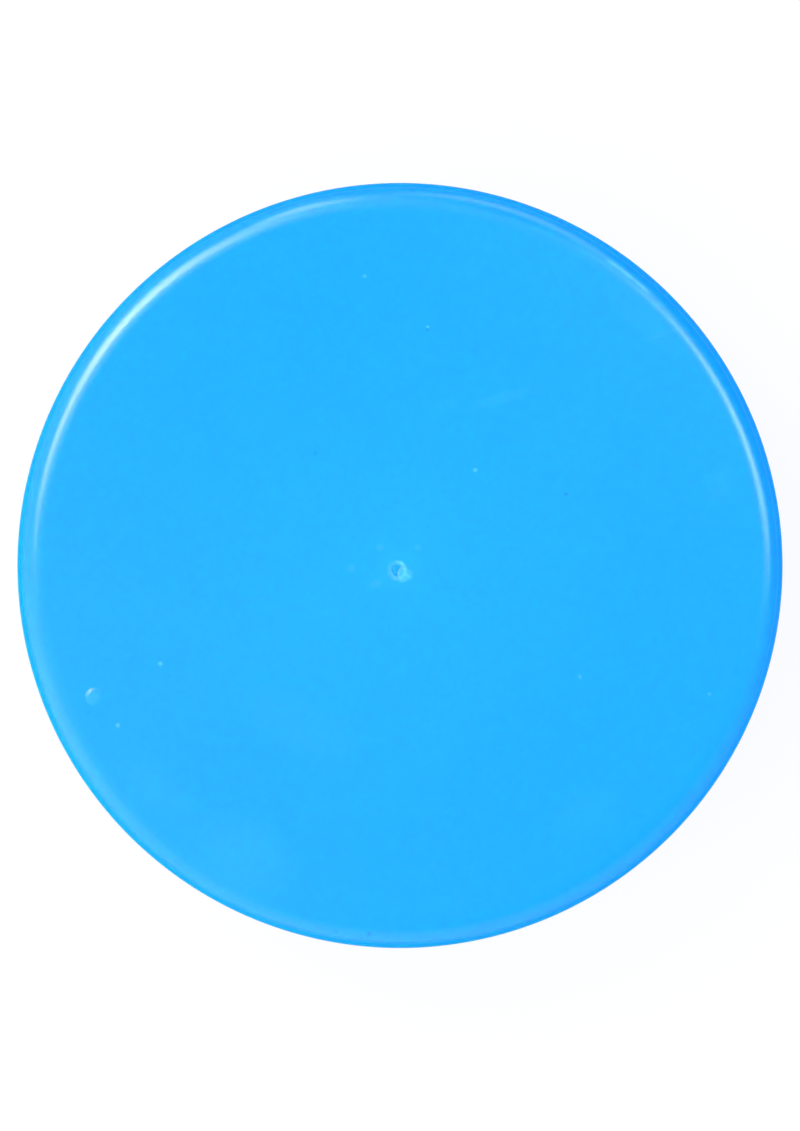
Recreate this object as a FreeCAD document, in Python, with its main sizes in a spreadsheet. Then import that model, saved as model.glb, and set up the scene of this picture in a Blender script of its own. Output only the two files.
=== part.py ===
import FreeCAD, Part
import math
import os
import Sketcher

# A hockey puck for off-ice play, 3 in across and 1 in thick.  Its body is two identical
# injection-moulded halves, welded rim to rim half way up.  One mould makes both: half of each rim
# carries a tongue and the other half a groove, so a second half turned over drops onto the first.
# Inside, a round well holds a steel washer between two rubber pads, which stop it from rattling
# and deaden the bounce.
#
# Millimetres.  The puck lies flat, with its lower face on Z = 0 and its centre line on Z.

# The driving dimensions: one row each of the sheet, as alias, value and what it measures.
SIZES = [
    ("puck_diameter", 76.2, "across the smooth lands"),
    ("puck_height", 25.4, "face to face"),
    ("shoulder_radius", 2.4, "round between each face and the side"),
    ("face_thickness", 2.8, "plate under each playing face"),
    ("wall_thickness", 3.0, "side wall, measured in from the lands"),
    ("inner_corner_bevel", 1.2, "between the plate and the side wall, inside"),
    ("land_height", 4.2, "smooth land, from the face to the grip band"),
    ("grip_recess", 0.5, "depth of the grip band below the lands"),
    ("seam_bevel", 0.2, "bevel on each rim that makes the seam line"),
    ("tongue_width", 0.8, "tongue on one half of each rim"),
    ("tongue_height", 1.2, "tongue above the rim"),
    ("tongue_lead", 0.2, "bevel that leads the tongue into its groove"),
    ("seam_clearance", 0.1, "groove beyond the tongue, on each side and at its bottom"),
    ("seam_end_angle", 1.5, "degrees left free at each end of a tongue"),
    ("rib_count", 12, "stiffening ribs between the well and the side wall"),
    ("rib_thickness", 1.6, "stiffening and seat ribs, at their root"),
    ("rib_drop", 2.5, "stiffening ribs below the rim"),
    ("rib_draft", 0.5, "degrees that each side of a rib leans in towards its top"),
    ("well_wall_thickness", 1.8, "ring that holds the washer"),
    ("well_gap", 0.3, "well wall below the rim, so that the rims weld first"),
    ("seat_rib_count", 6, "ribs under each pad"),
    ("post_diameter", 8.0, "centre post, which meets the post of the other half"),
    ("post_bore", 4.0, "blind core in the post, which keeps the face free of a sink"),
    ("gate_diameter", 2.0, "recess round the gate, at the middle of each face"),
    ("gate_depth", 0.25, "recess round the gate"),
    ("vestige_diameter", 0.9, "stub left where the sprue broke off"),
    ("vestige_height", 0.12, "stub, which stays below the face"),
    ("washer_diameter", 44.0, "steel washer"),
    ("washer_thickness", 4.5, "steel washer"),
    ("washer_clearance", 0.4, "washer and pads to the well wall, all round"),
    ("post_clearance", 0.5, "washer and pads to the post, all round"),
    ("pad_thickness", 3.0, "rubber pad, pressed between its seat and the washer"),
]

# Places that several sub-parts share, worked out from the sheet.
OUTER = "(Sizes.puck_diameter / 2)"
RIM = "(Sizes.puck_height / 2)"
BAND = f"({OUTER} - Sizes.grip_recess)"
INNER = f"({OUTER} - Sizes.wall_thickness)"
FLOOR = "Sizes.face_thickness"
WALL_MIDDLE = f"(({BAND} + {INNER}) / 2)"
WELL_INNER = "(Sizes.washer_diameter / 2 + Sizes.washer_clearance)"
WELL_OUTER = f"({WELL_INNER} + Sizes.well_wall_thickness)"
WELL_MIDDLE = f"(({WELL_INNER} + {WELL_OUTER}) / 2)"
POST_MIDDLE = "((Sizes.post_diameter + Sizes.post_bore) / 4)"
HOLE_DIAMETER = "(Sizes.post_diameter + 2 * Sizes.post_clearance)"
WASHER_FOOT = f"({RIM} - Sizes.washer_thickness / 2)"
WASHER_TOP = f"({RIM} + Sizes.washer_thickness / 2)"
PAD_FOOT = f"({WASHER_FOOT} - Sizes.pad_thickness)"

doc = FreeCAD.newDocument("hockey_puck")


def fill_sheet():
    sheet = doc.addObject("Spreadsheet::Sheet", "Sizes")
    for row, (alias, value, meaning) in enumerate(SIZES, start=1):
        sheet.set(f"A{row}", alias)
        sheet.set(f"B{row}", str(value))
        sheet.set(f"C{row}", meaning)
        sheet.setAlias(f"B{row}", alias)
    doc.recompute()
    return sheet


sheet = fill_sheet()


def value_of(expression):
    """The number that an expression on the sheet gives now."""
    return float(sheet.evalExpression(str(expression)))


def new_body(label):
    body = doc.addObject("PartDesign::Body", label)
    body.Label = label
    return body


def origin_feature(body, role):
    return next(f for f in body.Origin.OriginFeatures if f.Role == role)


def new_sketch(body, name, plane, lift="0"):
    """A sketch on one of the body's own planes, lifted along the plane's normal."""
    sketch = body.newObject("Sketcher::SketchObject", name)
    sketch.AttachmentSupport = (origin_feature(body, plane), "")
    sketch.MapMode = "FlatFace"
    if lift != "0":
        sketch.setExpression("AttachmentOffset.Base.z", lift)
    doc.recompute()
    return sketch


def draw_outline(sketch, corners):
    """A closed outline of straight lines, each corner a pair of expressions, tied to the sheet."""
    points = [FreeCAD.Vector(value_of(x), value_of(y), 0) for x, y in corners]
    for start, end in zip(points, points[1:] + points[:1]):
        sketch.addGeometry(Part.LineSegment(start, end))
    for line in range(len(points)):
        following = (line + 1) % len(points)
        sketch.addConstraint(Sketcher.Constraint("Coincident", line, 2, following, 1))
    for line, (corner, point) in enumerate(zip(corners, points)):
        for kind, expression, distance in zip(("DistanceX", "DistanceY"), corner, point):
            index = sketch.addConstraint(Sketcher.Constraint(kind, -1, 1, line, 1, distance))
            if expression != "0":
                sketch.setExpression(f"Constraints[{index}]", expression)
    doc.recompute()
    return sketch


def draw_circles(sketch, *diameters):
    """Circles about the sketch's origin, their diameters tied to the sheet."""
    for expression in diameters:
        radius = value_of(expression) / 2
        circle = sketch.addGeometry(Part.Circle(FreeCAD.Vector(), FreeCAD.Vector(0, 0, 1), radius))
        sketch.addConstraint(Sketcher.Constraint("Coincident", circle, 3, -1, 1))
        index = sketch.addConstraint(Sketcher.Constraint("Diameter", circle, 2 * radius))
        sketch.setExpression(f"Constraints[{index}]", expression)
    doc.recompute()
    return sketch


def volume_of(body):
    return 0 if body.Shape.isNull() else body.Shape.Volume


def volume_after(body, feature):
    """The body's volume once the feature is its tip."""
    body.Tip = feature
    doc.recompute()
    return volume_of(body)


def add_extrusion(body, kind, name, sketch, length, reverse=False, taper=None):
    """A Pad or a Pocket of the sketch, its length tied to the sheet."""
    before = volume_of(body)
    feature = body.newObject(f"PartDesign::{kind}", name)
    feature.Profile = sketch
    feature.Reversed = reverse
    feature.setExpression("Length", length)
    if taper:
        feature.setExpression("TaperAngle", taper)
    change = volume_after(body, feature) - before
    if (change > 0) != (kind == "Pad"):
        raise RuntimeError(f"{name} changed nothing")
    return feature


def add_turned(body, kind, name, sketch, angle="360"):
    """A Revolution or a Groove of the sketch about Z, half the angle to each side of its plane."""
    before = volume_of(body)
    feature = body.newObject(f"PartDesign::{kind}", name)
    feature.Profile = sketch
    feature.ReferenceAxis = (origin_feature(body, "Z_Axis"), [""])
    feature.Midplane = angle != "360"
    feature.setExpression("Angle", angle)
    change = volume_after(body, feature) - before
    if (change > 0) != (kind == "Revolution"):
        raise RuntimeError(f"{name} changed nothing")
    return feature


def repeat_around(body, name, feature, count):
    """The feature repeated evenly about Z."""
    before = volume_of(body)
    pattern = body.newObject("PartDesign::PolarPattern", name)
    pattern.Originals = [feature]
    pattern.Axis = (origin_feature(body, "Z_Axis"), [""])
    pattern.Angle = 360
    pattern.setExpression("Occurrences", count)
    if volume_after(body, pattern) <= before:
        raise RuntimeError(f"{name} repeated nothing")
    return pattern


def circle_edge(feature, radius, height):
    """The name of the feature's full circle of that radius at that height."""
    for number, edge in enumerate(feature.Shape.Edges, start=1):
        curve = edge.Curve
        if not isinstance(curve, Part.Circle) or len(edge.Vertexes) != 1:
            continue
        if math.isclose(curve.Radius, radius, abs_tol=1e-6):
            if math.isclose(curve.Center.z, height, abs_tol=1e-6):
                return f"Edge{number}"
    raise RuntimeError(f"{feature.Label} has no circle of radius {radius} at {height}")


def dress_edge(body, kind, name, size, edge_radius, edge_height):
    """A Fillet or a Chamfer on the full circle at that radius and height on the body's tip."""
    base = body.Tip
    edge = circle_edge(base, value_of(edge_radius), value_of(edge_height))
    feature = body.newObject(f"PartDesign::{kind}", name)
    feature.Base = (base, [edge])
    feature.setExpression("Radius" if kind == "Fillet" else "Size", size)
    volume_after(body, feature)
    return feature


def build_cup(body):
    """The plate and side wall: a turned cup, open at the rim."""
    corners = [
        ("0", "0"),
        (OUTER, "0"),
        (OUTER, "Sizes.land_height"),
        (BAND, "Sizes.land_height + Sizes.grip_recess"),
        (BAND, f"{RIM} - Sizes.seam_bevel"),
        (f"{BAND} - Sizes.seam_bevel", RIM),
        (INNER, RIM),
        (INNER, FLOOR),
        ("0", FLOOR),
    ]
    section = draw_outline(new_sketch(body, "cup_section", "XZ_Plane"), corners)
    add_turned(body, "Revolution", "cup", section)
    dress_edge(body, "Fillet", "shoulder", "Sizes.shoulder_radius", OUTER, "0")
    dress_edge(body, "Chamfer", "inner_corner", "Sizes.inner_corner_bevel", INNER, FLOOR)


def build_well(body):
    """The ring that holds the washer, and the cored post through its hole."""
    depth = f"{RIM} - {FLOOR}"
    ring = new_sketch(body, "well_outline", "XY_Plane", FLOOR)
    draw_circles(ring, f"2 * {WELL_OUTER}", f"2 * {WELL_INNER}")
    add_extrusion(body, "Pad", "well_wall", ring, f"{depth} - Sizes.well_gap")
    post = new_sketch(body, "post_outline", "XY_Plane", FLOOR)
    draw_circles(post, "Sizes.post_diameter", "Sizes.post_bore")
    add_extrusion(body, "Pad", "post", post, depth)


def build_ribs(body):
    """Stiffening ribs outside the well, and lower ribs inside it that a pad sits on."""
    half = "Sizes.rib_thickness / 2"

    def add_ribs(name, start, end, height, count):
        outline = new_sketch(body, f"{name}_outline", "XY_Plane", FLOOR)
        corners = [(start, f"-{half}"), (end, f"-{half}"), (end, half), (start, half)]
        draw_outline(outline, corners)
        rib = add_extrusion(body, "Pad", name, outline, height, taper="-Sizes.rib_draft")
        repeat_around(body, f"{name}s", rib, count)

    height = f"{RIM} - {FLOOR} - Sizes.rib_drop"
    add_ribs("stiffening_rib", WELL_MIDDLE, WALL_MIDDLE, height, "Sizes.rib_count")
    height = f"{PAD_FOOT} - {FLOOR}"
    add_ribs("seat_rib", POST_MIDDLE, WELL_MIDDLE, height, "Sizes.seat_rib_count")


def build_seam(body):
    """A tongue on the rim's +Y half and the groove for the other half's tongue on its -Y half."""
    half = "Sizes.tongue_width / 2"
    root = f"{RIM} - Sizes.tongue_height"
    tip = f"{RIM} + Sizes.tongue_height"
    lead = "Sizes.tongue_lead"
    corners = [
        (f"{WALL_MIDDLE} - {half}", root),
        (f"{WALL_MIDDLE} + {half}", root),
        (f"{WALL_MIDDLE} + {half}", f"{tip} - {lead}"),
        (f"{WALL_MIDDLE} + {half} - {lead}", tip),
        (f"{WALL_MIDDLE} - {half} + {lead}", tip),
        (f"{WALL_MIDDLE} - {half}", f"{tip} - {lead}"),
    ]
    tongue = draw_outline(new_sketch(body, "tongue_section", "YZ_Plane"), corners)
    add_turned(body, "Revolution", "tongue", tongue, "180 - 2 * Sizes.seam_end_angle")
    half_groove = f"({half} + Sizes.seam_clearance)"
    bottom = f"{RIM} - Sizes.tongue_height - Sizes.seam_clearance"
    top = f"{RIM} + Sizes.seam_clearance"
    corners = [
        (f"-({WALL_MIDDLE} + {half_groove})", bottom),
        (f"-({WALL_MIDDLE} - {half_groove})", bottom),
        (f"-({WALL_MIDDLE} - {half_groove})", top),
        (f"-({WALL_MIDDLE} + {half_groove})", top),
    ]
    groove = draw_outline(new_sketch(body, "groove_section", "YZ_Plane"), corners)
    add_turned(body, "Groove", "groove", groove, "180")


def build_gate(body):
    """The recess at the middle of the face, with the stub of the sprue in it."""
    recess = draw_circles(new_sketch(body, "gate_outline", "XY_Plane"), "Sizes.gate_diameter")
    add_extrusion(body, "Pocket", "gate_recess", recess, "Sizes.gate_depth", reverse=True)
    stub = new_sketch(body, "vestige_outline", "XY_Plane", "Sizes.gate_depth")
    draw_circles(stub, "Sizes.vestige_diameter")
    add_extrusion(body, "Pad", "gate_vestige", stub, "Sizes.vestige_height", reverse=True)


def moulded_half(label):
    """One half of the body, face down with its rim up, as it leaves the mould."""
    body = new_body(label)
    build_cup(body)
    build_well(body)
    build_ribs(body)
    build_seam(body)
    build_gate(body)
    return body


def flat_ring(label, thickness, foot):
    """A flat ring that drops into the well over the post, with its underside at the foot."""
    body = new_body(label)
    outline = new_sketch(body, f"{label}_outline", "XY_Plane")
    draw_circles(outline, "Sizes.washer_diameter", HOLE_DIAMETER)
    add_extrusion(body, "Pad", f"{label}_plate", outline, thickness)
    body.setExpression("Placement.Base.z", foot)
    return body


def build_puck():
    """All the sub-parts, each in its place."""
    lower_shell = moulded_half("lower_shell")
    upper_shell = moulded_half("upper_shell")
    upper_shell.Placement.Rotation = FreeCAD.Rotation(FreeCAD.Vector(1, 0, 0), 180)
    upper_shell.setExpression("Placement.Base.z", "Sizes.puck_height")
    lower_pad = flat_ring("lower_pad", "Sizes.pad_thickness", PAD_FOOT)
    washer = flat_ring("ballast_washer", "Sizes.washer_thickness", WASHER_FOOT)
    upper_pad = flat_ring("upper_pad", "Sizes.pad_thickness", WASHER_TOP)
    doc.recompute()
    return [lower_shell, upper_shell, lower_pad, washer, upper_pad]


def check(sub_parts):
    """Stops if any object of the document failed, or a sub-part isn't one valid solid."""
    for item in doc.Objects:
        if "Invalid" in item.State or "Error" in item.State:
            raise RuntimeError(f"{item.Label} failed: {item.State}")
    for body in sub_parts:
        shape = body.Shape
        if shape.isNull() or not shape.isValid() or len(shape.Solids) != 1:
            raise RuntimeError(f"{body.Label} isn't one valid solid")


def write(sub_parts):
    os.makedirs("parts", exist_ok=True)
    for body in sub_parts:
        body.Shape.exportStep(f"parts/{body.Label}.step")
        print(f"{body.Label}: {body.Shape.Volume / 1000:.2f} cm3, {len(body.Shape.Faces)} faces")


sub_parts = build_puck()
check(sub_parts)
write(sub_parts)
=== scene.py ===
# A hockey puck for off-ice play: two welded halves of glossy blue moulded nylon over a steel washer.
import bmesh
import bpy
import math
from mathutils import Matrix, Vector


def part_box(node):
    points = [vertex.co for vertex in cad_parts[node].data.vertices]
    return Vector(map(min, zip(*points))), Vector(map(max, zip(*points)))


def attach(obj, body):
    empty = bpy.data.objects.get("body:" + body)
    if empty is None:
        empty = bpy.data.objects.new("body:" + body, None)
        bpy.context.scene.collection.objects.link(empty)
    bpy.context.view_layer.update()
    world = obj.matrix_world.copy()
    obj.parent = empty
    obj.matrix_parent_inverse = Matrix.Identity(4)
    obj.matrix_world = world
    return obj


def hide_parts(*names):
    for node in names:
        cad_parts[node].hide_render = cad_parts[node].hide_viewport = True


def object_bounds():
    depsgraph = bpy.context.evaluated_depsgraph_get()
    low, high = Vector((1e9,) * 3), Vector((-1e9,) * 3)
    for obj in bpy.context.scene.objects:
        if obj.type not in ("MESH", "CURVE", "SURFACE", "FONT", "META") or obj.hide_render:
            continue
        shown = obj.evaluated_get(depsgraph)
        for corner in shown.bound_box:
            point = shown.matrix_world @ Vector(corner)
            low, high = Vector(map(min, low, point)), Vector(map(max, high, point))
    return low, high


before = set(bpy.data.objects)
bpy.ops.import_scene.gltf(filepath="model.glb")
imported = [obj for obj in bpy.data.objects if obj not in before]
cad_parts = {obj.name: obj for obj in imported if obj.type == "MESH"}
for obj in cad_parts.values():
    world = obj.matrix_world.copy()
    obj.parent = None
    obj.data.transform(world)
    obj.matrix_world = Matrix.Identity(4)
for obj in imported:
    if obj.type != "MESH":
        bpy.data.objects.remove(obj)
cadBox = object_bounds()

mm = 0.001      # sizes are in mm and turns in degrees, unless a note says otherwise
puckRadius = (cadBox[1][0] - cadBox[0][0]) / 2 / mm
puckHeight = (cadBox[1][2] - cadBox[0][2]) / mm
rimHeight = puckHeight / 2
washerLow, washerHigh = (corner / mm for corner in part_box("ballast_washer"))
padLow, padHigh = (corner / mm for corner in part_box("lower_pad"))
mergeDistance = 0.0001 * mm
turnOver = Matrix.Translation((0, 0, puckHeight * mm)) @ Matrix.Rotation(math.pi, 4, "X")


def addNode(tree, kind, inputs=None, **settings):
    # one node with its settings; an input takes a value, a socket, or a node for its first output
    node = tree.nodes.new(kind)
    for name, value in settings.items():
        setattr(node, name, value)
    for key, value in (inputs or {}).items():
        named = [socket for socket in node.inputs if socket.name == key and socket.enabled]
        target = named[0] if named else node.inputs[key]
        for source in value if isinstance(value, list) else [value]:
            if isinstance(source, bpy.types.Node):
                source = next(output for output in source.outputs if output.enabled)
            if isinstance(source, bpy.types.NodeSocket):
                tree.links.new(source, target)
            else:
                target.default_value = source
    return node


def linearColour(hexColour):
    channels = [int(hexColour[i:i + 2], 16) / 255 for i in (1, 3, 5)]
    linear = [c / 12.92 if c <= 0.04045 else ((c + 0.055) / 1.055) ** 2.4 for c in channels]
    return (*linear, 1)


def newTree(name, inputs):
    # a geometry tree with named inputs: its name and the kind of each socket
    tree = bpy.data.node_groups.new(name, "GeometryNodeTree")
    for label, kind in inputs.items():
        tree.interface.new_socket(label, in_out="INPUT", socket_type="NodeSocket" + kind)
    tree.interface.new_socket("Geometry", in_out="OUTPUT", socket_type="NodeSocketGeometry")
    return tree, tree.nodes.new("NodeGroupInput").outputs


def finishTree(tree, geometry, material):
    real = addNode(tree, "GeometryNodeRealizeInstances", {"Geometry": geometry})
    painted = addNode(tree, "GeometryNodeSetMaterial", {"Geometry": real, "Material": material})
    addNode(tree, "NodeGroupOutput", {0: painted})
    return tree


def bakeTree(name, tree, values):
    # runs the tree once and keeps its result as a plain mesh
    piece = bpy.data.objects.new(name, bpy.data.meshes.new(name))
    bpy.context.scene.collection.objects.link(piece)
    modifier = piece.modifiers.new(name, "NODES")
    modifier.node_group = tree
    for item in tree.interface.items_tree:
        if item.in_out == "INPUT":
            modifier[item.identifier] = values[item.name]
    graph = bpy.context.evaluated_depsgraph_get()
    mesh = bpy.data.meshes.new_from_object(piece.evaluated_get(graph))
    piece.modifiers.remove(modifier)
    piece.data = mesh
    mesh.name = name
    return piece


def smoothPiece(piece, sharpAngle):
    # doubles merged, faces turned outwards, and only the real edges left sharp
    work = bmesh.new()
    work.from_mesh(piece.data)
    bmesh.ops.remove_doubles(work, verts=work.verts, dist=mergeDistance)
    bmesh.ops.recalc_face_normals(work, faces=work.faces)
    work.to_mesh(piece.data)
    work.free()
    piece.data.shade_smooth()
    piece.data.set_sharp_from_angle(angle=math.radians(sharpAngle))


def flattenFace(piece, height, radius):
    # the level face shades flat out to this radius, so that its long facets show no streaks
    for facet in piece.data.polygons:
        corners = [piece.data.vertices[index].co for index in facet.vertices]
        if all(abs(co.z - height) < mergeDistance and co.xy.length < radius for co in corners):
            facet.use_smooth = False


def turnedOver(piece, name):
    # a copy of the piece for the other half of the puck
    twin = bpy.data.objects.new(name, piece.data.copy())
    twin.data.name = name
    twin.data.transform(turnOver)
    bpy.context.scene.collection.objects.link(twin)
    return twin


# straight above the face; puckShare is how much of the frame's width the puck fills
camera = {"lens": 105.0, "sensor": 36.0, "imageWidth": 800, "imageHeight": 1131,
          "puckShare": 0.9562, "clipStart": 0.01}


def placeCamera():
    data = bpy.data.cameras.new("camera")
    data.lens = camera["lens"]
    data.sensor_fit = "VERTICAL"
    data.sensor_height = camera["sensor"]
    sensorWidth = camera["sensor"] * camera["imageWidth"] / camera["imageHeight"]
    widthAtPuck = 2 * puckRadius * mm / camera["puckShare"]
    distance = camera["lens"] * widthAtPuck / sensorWidth
    data.clip_start = camera["clipStart"]
    rig = bpy.data.objects.new("camera", data)
    rig.location = (0, 0, (puckHeight - halfShell["shoulderRadius"]) * mm + distance)
    bpy.context.scene.collection.objects.link(rig)
    bpy.context.scene.camera = rig


# soft windows in a pale room that is darker to the right, as seen from the puck: azimuth from +X,
# tilt from overhead, width in azimuth, height in tilt, and roll
windows = {
    "keyWindow": {"azimuth": 138, "tilt": 37, "width": 37, "height": 59, "radiance": 9.8, "roll": 26},
    "keyGlint": {"azimuth": 154, "tilt": 32, "width": 57, "height": 42, "radiance": 9.1,
                 "roll": 13, "glossOnly": True},
    "keyTail": {"azimuth": 130, "tilt": 46, "width": 40, "height": 54, "radiance": 7.4,
                "roll": 29, "colour": "#F0FFFF", "glossOnly": True},
    "sideWindow": {"azimuth": 19, "tilt": 36, "width": 88, "height": 27, "radiance": 7.3,
                   "roll": 57, "colour": "#ECFFFF", "glossOnly": True},
    "sideGlow": {"azimuth": 45, "tilt": 42, "width": 110, "height": 34, "radiance": 1.6,
                 "roll": -54},
    "topStrip": {"azimuth": 76, "tilt": 64, "width": 45, "height": 40, "radiance": 2.3,
                 "roll": -43, "glossOnly": True},
    "topEdge": {"azimuth": 106, "tilt": 51, "width": 46, "height": 17, "radiance": 6.9,
                "roll": -84, "colour": "#F0FFFF", "glossOnly": True},
    "ceilingGlow": {"azimuth": 98, "tilt": 44, "width": 134, "height": 21, "radiance": 0.85,
                    "roll": -78, "glossOnly": True},
    "wallGlow": {"azimuth": 204, "tilt": 53, "width": 61, "height": 125, "radiance": 0.66,
                 "roll": -9},
    "sideFill": {"azimuth": 14, "tilt": 68, "width": 140, "height": 50, "radiance": 2.9,
                 "colour": "#68A8FF", "diffuseOnly": True},
    "paleFill": {"azimuth": 195, "tilt": 16, "width": 60, "height": 60, "radiance": 7.3,
                 "diffuseOnly": True},
}
lampDistance = 1.2      # m

# the room's strength straight overhead and at its walls, which start where the height of a
# direction falls to wallTop; it is brighter towards paleAzimuth, by up to sideGain
room = {"overhead": 0.28, "walls": 0.73, "wallTop": 0.7, "paleAzimuth": 222, "sideGain": 0.88}


def paleDirection():
    bearing = math.radians(room["paleAzimuth"])
    return (math.cos(bearing), math.sin(bearing), 0)


def softWindow(name, window):
    # an area lamp that fades from its middle to its edges
    light = bpy.data.lights.new(name, "AREA")
    light.shape = "RECTANGLE"
    span = 2 * lampDistance * math.tan(math.radians(window["width"] / 2))
    light.size = span * math.sin(math.radians(window["tilt"]))
    light.size_y = 2 * lampDistance * math.tan(math.radians(window["height"] / 2))
    light.energy = window["radiance"] * math.pi * light.size * light.size_y
    light.color = linearColour(window.get("colour", "#FFFFFF"))[:3]
    light.use_nodes = True
    tree = light.node_tree
    across = addNode(tree, "ShaderNodeVectorMath", {
        0: addNode(tree, "ShaderNodeNewGeometry").outputs["Parametric"],
        1: (-0.5, -0.5, 0)}, operation="ADD")
    flat = addNode(tree, "ShaderNodeVectorMath", {0: across, 1: (1, 1, 0)}, operation="MULTIPLY")
    reach = addNode(tree, "ShaderNodeVectorMath", {0: flat}, operation="LENGTH")
    fade = addNode(tree, "ShaderNodeMapRange", {
        "Value": reach.outputs["Value"], "From Min": 0.5, "From Max": 0.0},
        interpolation_type="SMOOTHSTEP")
    tree.links.new(fade.outputs[0], tree.nodes["Emission"].inputs["Strength"])
    rig = bpy.data.objects.new(name, light)
    tilt = Matrix.Rotation(math.radians(window["tilt"]), 4, "Y")
    swing = Matrix.Rotation(math.radians(window["azimuth"]), 4, "Z")
    away = Matrix.Translation((0, 0, lampDistance))
    spin = Matrix.Rotation(math.pi / 2 + math.radians(window.get("roll", 0)), 4, "Z")
    rig.matrix_world = Matrix.Translation((0, 0, puckHeight * mm)) @ swing @ tilt @ away @ spin
    rig.visible_camera = False
    rig.visible_diffuse = not window.get("glossOnly", False)
    rig.visible_glossy = not window.get("diffuseOnly", False)
    bpy.context.scene.collection.objects.link(rig)


def paleRoom():
    world = bpy.data.worlds.new("paleRoom")
    world.use_nodes = True
    bpy.context.scene.world = world
    tree = world.node_tree
    direction = addNode(tree, "ShaderNodeTexCoord").outputs["Generated"]
    upward = addNode(tree, "ShaderNodeSeparateXYZ", {"Vector": direction}).outputs["Z"]
    level = addNode(tree, "ShaderNodeMapRange", {
        "Value": upward, "From Min": room["wallTop"], "To Min": room["walls"],
        "To Max": room["overhead"]}, interpolation_type="SMOOTHSTEP")
    facing = addNode(tree, "ShaderNodeVectorMath", {0: direction, 1: paleDirection()},
                     operation="DOT_PRODUCT")
    gain = addNode(tree, "ShaderNodeMath", {
        0: facing.outputs["Value"], 1: room["sideGain"], 2: 1.0}, operation="MULTIPLY_ADD")
    strength = addNode(tree, "ShaderNodeMath", {0: level, 1: gain}, operation="MULTIPLY")
    tree.links.new(strength.outputs[0], tree.nodes["Background"].inputs["Strength"])
    tree.nodes["Background"].inputs["Color"].default_value = (1, 1, 1, 1)


studioFloor = {
    "size": 12.0,               # m
    "gap": 0.12,                # under the puck
    "paleShare": 0.9,           # this share glows evenly; the rest is lit, and takes the shadow
    "colour": "#FFFFFF", "whiteRadius": 0.074,      # m, white out to here
    "paintedFalloffColour": "#9C9C9C", "greyRadius": 0.26,     # m, and a painted grey from here, as though the light fell off
    "paleSide": 0.2,            # share of the painted grey that is left towards the pale side of the room, painted as lit by the windows
    "bounceColour": "#A0A0A0",  # for the light that it throws back on the puck
    "roughness": 0.9,
}


def newMaterial(name):
    # a material with its tree, its shader and the place on the piece
    material = bpy.data.materials.new(name)
    material.use_nodes = True
    tree = material.node_tree
    place = addNode(tree, "ShaderNodeTexCoord").outputs["Object"]
    return material, tree, tree.nodes["Principled BSDF"], place


def floorMaterial():
    # matt white laminate: an even white glow round the puck, with painted light falloff to grey
    # further out, less towards the pale side, which also darkens its reflection in the puck's rim; the
    # rest is lit and keeps its shadow
    material, tree, shader, place = newMaterial("whiteLaminate")
    path = addNode(tree, "ShaderNodeLightPath").outputs
    seen = addNode(tree, "ShaderNodeMath", {
        0: path["Is Camera Ray"], 1: path["Is Glossy Ray"]}, operation="ADD")
    through = addNode(tree, "ShaderNodeMath", {
        0: seen, 1: path["Is Transmission Ray"]}, operation="ADD", use_clamp=True)
    share = addNode(tree, "ShaderNodeMath", {
        0: through, 1: studioFloor["paleShare"]}, operation="MULTIPLY")
    away = addNode(tree, "ShaderNodeVectorMath", {0: place}, operation="LENGTH")
    bearing = addNode(tree, "ShaderNodeVectorMath", {0: place}, operation="NORMALIZE")
    facing = addNode(tree, "ShaderNodeVectorMath", {0: bearing, 1: paleDirection()},
                     operation="DOT_PRODUCT")
    side = addNode(tree, "ShaderNodeMapRange", {
        "Value": facing.outputs["Value"], "From Min": -1.0, "To Min": 1.0,
        "To Max": studioFloor["paleSide"]})
    # painted light falloff: the glow greys away from the puck, and less so towards the pale side of
    # the room
    grey = addNode(tree, "ShaderNodeMapRange", {
        "Value": away.outputs["Value"], "From Min": studioFloor["whiteRadius"],
        "From Max": studioFloor["greyRadius"], "To Max": side}, interpolation_type="SMOOTHSTEP")
    colour = addNode(tree, "ShaderNodeMix", {
        "Factor": grey, "A": linearColour(studioFloor["colour"]),
        "B": linearColour(studioFloor["paintedFalloffColour"])}, data_type="RGBA").outputs[2]
    glow = addNode(tree, "ShaderNodeEmission", {"Color": colour, "Strength": 1.0})
    own = addNode(tree, "ShaderNodeMix", {
        "Factor": path["Is Camera Ray"], "A": linearColour(studioFloor["bounceColour"]),
        "B": linearColour(studioFloor["colour"])}, data_type="RGBA").outputs[2]
    tree.links.new(own, shader.inputs["Base Color"])
    shader.inputs["Roughness"].default_value = studioFloor["roughness"]
    both = addNode(tree, "ShaderNodeMixShader", {0: share, 1: shader, 2: glow})
    tree.links.new(both.outputs[0], tree.nodes["Material Output"].inputs["Surface"])
    return material


def layFloor():
    half = studioFloor["size"] / 2
    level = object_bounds()[0][2] - studioFloor["gap"] * mm
    mesh = bpy.data.meshes.new("studioFloor")
    mesh.from_pydata([(-half, -half, level), (half, -half, level), (half, half, level),
                      (-half, half, level)], [], [(0, 1, 2, 3)])
    mesh.materials.append(floorMaterial())
    floor = bpy.data.objects.new("studioFloor", mesh)
    bpy.context.scene.collection.objects.link(floor)


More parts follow.
